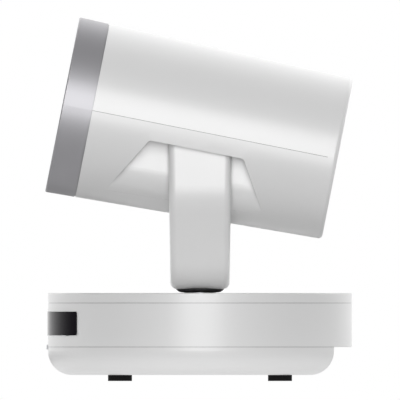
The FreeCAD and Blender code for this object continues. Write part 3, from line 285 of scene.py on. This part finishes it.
finishes = {
    "white_plastic": surface("satinWhiteShell", whiteShell),
    "silver_paint": surface("silverRingPaint", silverPaint),
    "smoked_plastic": surface("smokedInfraredWindow", smokedWindow),
    "black_gloss": surface("blackHoodPlastic", blackGloss),
    "black_plastic": surface("blackCollarPlastic", blackPlastic),
    "chip_black": surface("chipPlastic", chipPlastic),
    "rubber": surface("footRubber", footRubber),
    "gear_plastic": surface("gearPlastic", gearPlastic),
    "light_pipe": surface("frostedLightPipe", lightPipe),
    "frame_aluminium": surface("castAluminium", castAluminium),
    "brass": brushedMetal("turnedBrass", turnedBrass),
    "steel": brushedMetal("platedSteel", platedSteel),
    "bearing_steel": brushedMetal("bearingSteel", bearingSteel),
    "circuit_board": boardMaterial("circuitBoard", circuitBoard),
    "cover_glass": glassMaterial("coatedCoverGlass", coverGlass),
    "lens_glass": glassMaterial("coatedLensGlass", lensGlass),
}

for part in frame["record"]["subparts"]:
    shown = frame["nodes"][part["node"]]
    shown.data.materials.clear()
    shown.data.materials.append(finishes[part["material_slot"]])
print("finishes given:", len(finishes))


# Stage: a pale round floor under the object, with a faint shadow.
stage = {
    "floorRadius": 0.9, "floorSegments": 96,
    "floorColour": (0.9, 0.9, 0.9), "bounceColour": (0.35, 0.35, 0.35), "shadowShare": 0.25,
    "glow": 0.06, "nearGlow": 0.7, "nearRadius": 0.08, "farRadius": 0.115,
    "shadeRadius": 0.25, "brightRadius": 0.6,
}
pureWhite = (1, 1, 1, 1)


# The floor glows close under the base, and in gloss it is white only far out.
def floorMaterial():
    material, wire = startMaterial("paleFloor")
    seen = wire.add("ShaderNodeLightPath", take="Is Camera Ray")
    colour = blendColours(wire, seen, opaque(stage["bounceColour"]), opaque(stage["floorColour"]))
    matte = wire.add("ShaderNodeBsdfDiffuse", {}, {"Color": colour})
    bright = wire.add("ShaderNodeEmission", {}, {"Color": pureWhite, "Strength": 1.0})
    reach = wire.add("ShaderNodeVectorMath", {"operation": "LENGTH"}, {0: place(wire)}, take="Value")
    farOut = ramp(wire, reach, stage["shadeRadius"], stage["brightRadius"])
    shown = wire.maths("MAXIMUM", seen, seen.beside("Is Glossy Ray") * farOut)
    glow = ramp(wire, reach, stage["farRadius"], stage["nearRadius"]) * stage["nearGlow"] + stage["glow"]
    share = blendNumbers(wire, shown, glow, 1 - stage["shadowShare"])
    shader = wire.add("ShaderNodeMixShader", {}, {0: share, 1: matte, 2: bright})
    wire.add("ShaderNodeOutputMaterial", {}, {"Surface": shader})
    return material


def makeFloor():
    mesh = bpy.data.meshes.new("studioFloor")
    shape = bmesh.new()
    bmesh.ops.create_circle(shape, cap_ends=True, radius=stage["floorRadius"],
                            segments=stage["floorSegments"])
    shape.to_mesh(mesh)
    shape.free()
    mesh.materials.append(floorMaterial())
    floor = bpy.data.objects.new("studioFloor", mesh)
    bpy.context.scene.collection.objects.link(floor)


light = {
    "roomLevel": 0.22, "flagLevel": 0.10,
    "backLevel": 1.5, "backStart": -0.30, "backEnd": -0.85,
    "frontLevel": 0.8, "frontStart": 0.45, "frontEnd": 0.85,
    "keyPower": 17.8, "keyWidth": 0.9, "keyTall": 1.3, "keyDistance": 1.6, "keyRise": 0.34,
    "rimPower": 9.0, "rimSize": 0.8, "rimDistance": 1.3, "rimAngle": 116, "rimRise": 0.2,
    "topPower": 9.5, "topAngle": 114, "aimRise": 0.09,
}


# The room is white to the eye. In gloss it is white behind and before the object and darker at its sides.
def makeWorld():
    world = bpy.data.worlds.new("softRoom")
    world.use_nodes = True
    world.node_tree.nodes.clear()
    wire = Wire(world.node_tree)
    facing = wire.add("ShaderNodeTexCoord", take="Generated")
    along = wire.add("ShaderNodeSeparateXYZ", {}, {"Vector": facing}, take="X")
    backExtra = light["backLevel"] - light["flagLevel"]
    frontExtra = light["frontLevel"] - light["flagLevel"]
    behind = ramp(wire, along, light["backStart"], light["backEnd"]) * backExtra
    before = ramp(wire, along, light["frontStart"], light["frontEnd"]) * frontExtra
    inGloss = behind + before + light["flagLevel"]
    seen = wire.add("ShaderNodeLightPath", take="Is Camera Ray")
    glossy = seen.beside("Is Glossy Ray")
    white = wire.maths("MAXIMUM", seen, seen.beside("Is Transmission Ray"))
    shaded = glossy * inGloss + (1 - glossy) * light["roomLevel"]
    strength = white + (1 - white) * shaded
    room = wire.add("ShaderNodeBackground", {}, {"Color": pureWhite, "Strength": strength})
    wire.add("ShaderNodeOutputWorld", {}, {"Surface": room})
    bpy.context.scene.world = world


def softLamp(name, at, power, width, tall, inGloss=True):
    lamp = bpy.data.lights.new(name, "AREA")
    lamp.energy = power
    lamp.shape = "RECTANGLE"
    lamp.size = width
    lamp.size_y = tall
    lampObject = bpy.data.objects.new(name, lamp)
    lampObject.location = at
    middle = Vector((0, 0, light["aimRise"]))
    lampObject.rotation_euler = (middle - Vector(at)).to_track_quat("-Z", "Y").to_euler()
    lampObject.visible_glossy = inGloss
    bpy.context.scene.collection.objects.link(lampObject)


# How far back and how far out or up a lamp stands at an angle from the camera's side.
def rimPlace(angle):
    turn = math.radians(angle)
    return light["rimDistance"] * math.cos(turn), light["rimDistance"] * math.sin(turn)


# One softbox on the camera's side lights the gloss. The rim lamps behind don't show in it.
def makeLights():
    keyAt = (light["keyDistance"], 0, light["keyRise"])
    softLamp("keySoftbox", keyAt, light["keyPower"], light["keyWidth"], light["keyTall"])
    size = light["rimSize"]
    back, out = rimPlace(light["rimAngle"])
    for name, side in (("frontRim", -out), ("rearRim", out)):
        softLamp(name, (back, side, light["rimRise"]), light["rimPower"], size, size, inGloss=False)
    back, up = rimPlace(light["topAngle"])
    softLamp("topRim", (back, 0, up), light["topPower"], size, size, inGloss=False)


camera = {"width": 0.2, "distance": 5.0, "height": 0.0905, "clipEnd": 20}


def makeCamera():
    eye = bpy.data.cameras.new("sideCamera")
    eye.type = "ORTHO"
    eye.ortho_scale = camera["width"]
    eye.clip_end = camera["clipEnd"]
    eyeObject = bpy.data.objects.new("sideCamera", eye)
    eyeObject.location = (camera["distance"], 0, camera["height"])
    eyeObject.rotation_euler = (math.pi / 2, 0, math.pi / 2)
    bpy.context.scene.collection.objects.link(eyeObject)
    bpy.context.scene.camera = eyeObject


makeFloor()
makeWorld()
makeLights()
makeCamera()
bpy.context.scene.view_settings.view_transform = "Standard"
print("stage, lights and camera made")
